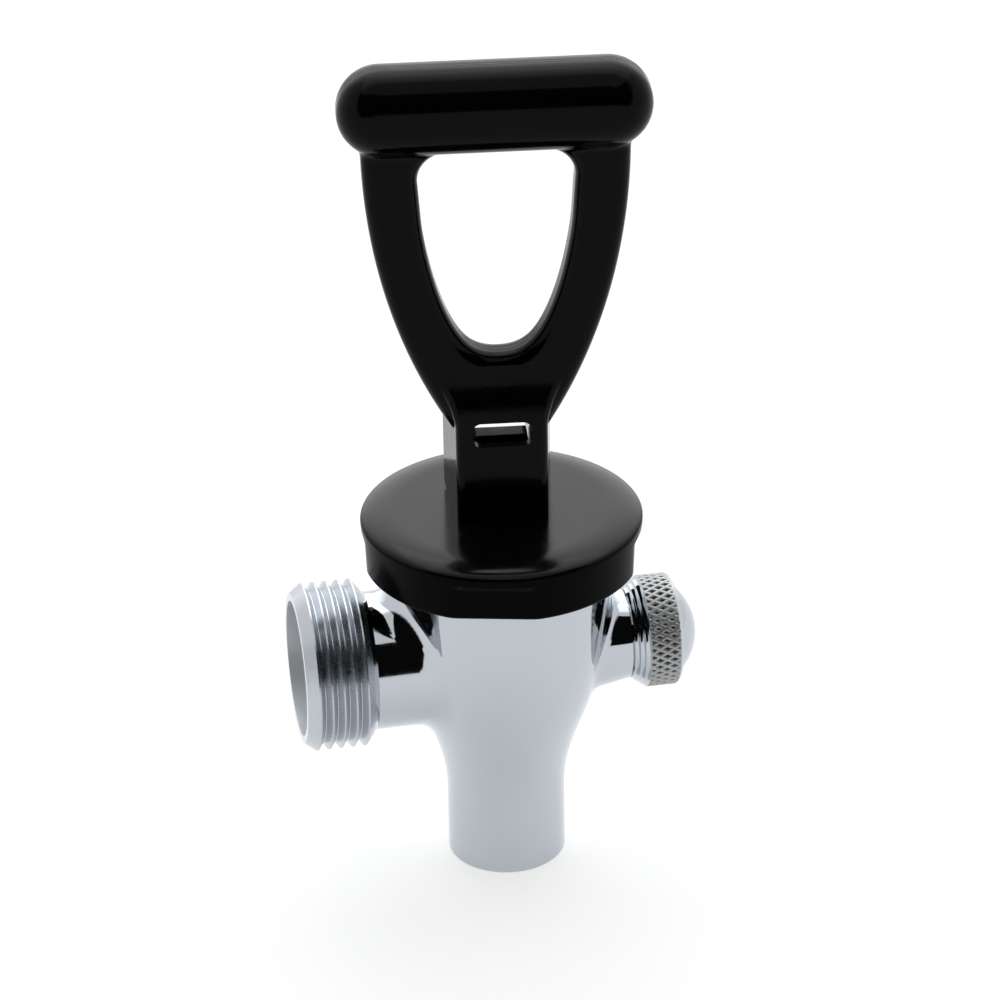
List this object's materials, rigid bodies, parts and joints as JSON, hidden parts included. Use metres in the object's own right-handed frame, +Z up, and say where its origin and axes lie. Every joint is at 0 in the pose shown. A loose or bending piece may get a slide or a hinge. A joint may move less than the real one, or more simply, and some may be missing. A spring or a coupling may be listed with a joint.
{
  "type": "beverage dispenser faucet",
  "caption": "Chromed beverage faucet with a threaded side inlet, a black cap nut, a loop handle that tilts a cam to lift the stem, and a knurled clean-out cap opposite the inlet.",
  "frame": {"origin": "on the axis of the inlet shank, at the first crest of its thread", "axes": "+X along the shank from its open end towards the clean-out cap, +Z up along the barrel towards the handle"},
  "size_m": [0.0615, 0.0424, 0.1305],
  "materials": {
    "chrome": "bright polished plating on cast brass",
    "black_plastic": "glossy moulded",
    "stem_plastic": "moulded",
    "silicone": "matt translucent",
    "steel": "bright drawn",
    "gasket": "matt"
  },
  "bodies": {
    "body": {"valve_body": "chrome", "bonnet": "black_plastic", "seat_cup": "silicone", "spring": "steel"},
    "lifter": {"spring_washer": "steel"},
    "stem": {"stem": "stem_plastic"},
    "handle": {"handle": "black_plastic", "handle_pin": "steel"},
    "gasket": {"cap_gasket": "gasket"},
    "cap": {"clean_out_cap": "chrome"}
  },
  "joints": [
    {"name": "stem_lift", "type": "slide", "parent": "body", "child": "lifter", "axis": [0, 0, 1], "range_m": [0, 0.00169], "deforming": ["spring", "seat_cup"]},
    {"name": "handle_swivel", "type": "hinge", "parent": "lifter", "child": "stem", "pos_m": [0.0301, 0, 0.02], "axis": [0, 0, 1], "continuous": true},
    {"name": "handle_tilt", "type": "hinge", "parent": "stem", "child": "handle", "pos_m": [0.0301, 0, 0.0312], "axis": [-0.9936, 0.1132, 0], "range_deg": [0, 24], "stiffness_Nm_per_rad": 0.02448, "springref_deg": -56.73},
    {"name": "cap_travel", "type": "slide", "parent": "body", "child": "gasket", "axis": [1, 0, 0], "range_m": [0, 0.006]},
    {"name": "cap_turn", "type": "hinge", "parent": "gasket", "child": "cap", "pos_m": [0.0551, 0, 0], "axis": [1, 0, 0], "range_deg": [0, 2160]}
  ],
  "couplings": [
    {"joint": "stem_lift", "follows": "handle_tilt", "m_per_rad": 0.00404},
    {"joint": "cap_travel", "follows": "cap_turn", "m_per_rad": 0.00015915}
  ]
}
